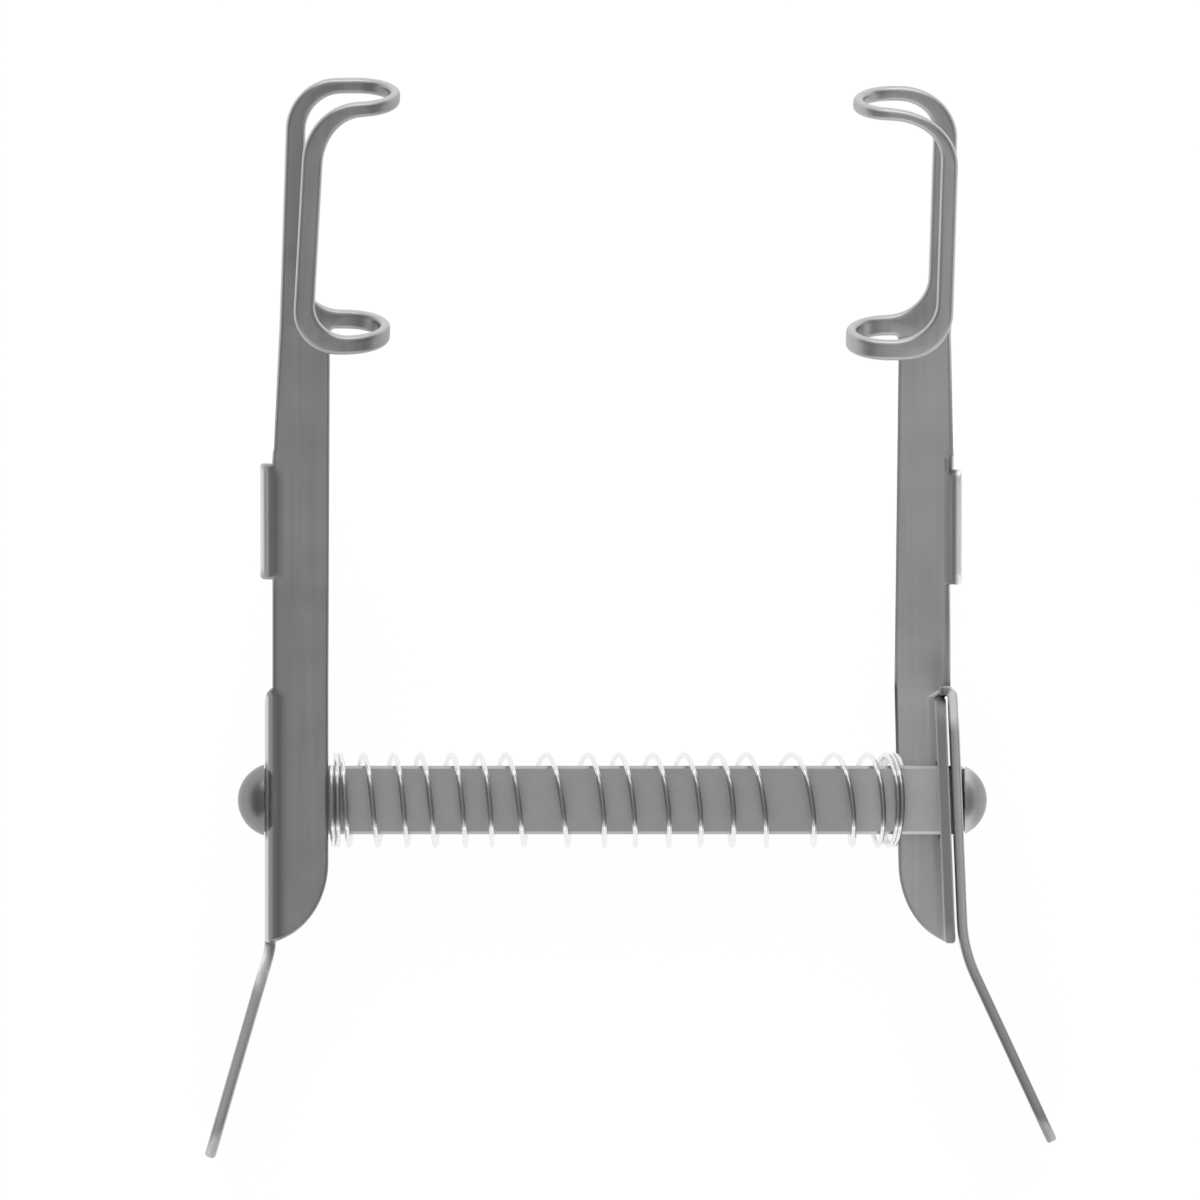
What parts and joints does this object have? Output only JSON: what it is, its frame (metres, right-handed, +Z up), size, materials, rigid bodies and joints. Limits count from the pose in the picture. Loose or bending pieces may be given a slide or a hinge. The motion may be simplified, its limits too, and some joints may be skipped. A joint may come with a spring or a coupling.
{
  "type": "eye speculum",
  "caption": "Lid speculum: folded sheet arms with open lid loops on a flat crossbar, spread by a coil spring and held by a rocking lock lever.",
  "frame": {"origin": "under the middle of the whole instrument, on the table it lies on", "axes": "+X along the crossbar towards the lock lever, +Y along the arms towards the lid loops, +Z up, towards the side that faces the user"},
  "size_m": [0.0472, 0.06, 0.0196],
  "materials": {
    "left_arm_steel": "satin, fine streaks along the arm",
    "right_arm_steel": "satin, fine streaks along the arm",
    "lock_lever_steel": "satin",
    "crossbar_steel": "satin, ground flat",
    "left_button_steel": "satin, domed",
    "right_button_steel": "satin, domed",
    "spring_steel": "bright drawn wire"
  },
  "bodies": {
    "frame": {"left_arm": "left_arm_steel", "crossbar": "crossbar_steel", "left_end_button": "left_button_steel", "right_end_button": "right_button_steel", "spring": "spring_steel"},
    "sliding_arm": {"right_arm": "right_arm_steel"},
    "lever": {"lock_lever": "lock_lever_steel"}
  },
  "joints": [
    {"name": "arm_slide", "type": "slide", "parent": "frame", "child": "sliding_arm", "axis": [1, 0, 0], "range_m": [-0.024, 0], "stiffness_N_per_m": 40, "springref_m": 0.005, "deforming": ["spring"]},
    {"name": "lever_rock", "type": "hinge", "parent": "sliding_arm", "child": "lever", "pos_m": [0.0176, -0.00439, 0.00395], "axis": [0, 0, 1], "range_deg": [-0.5, 0.4], "stiffness_Nm_per_rad": 0.002}
  ]
}
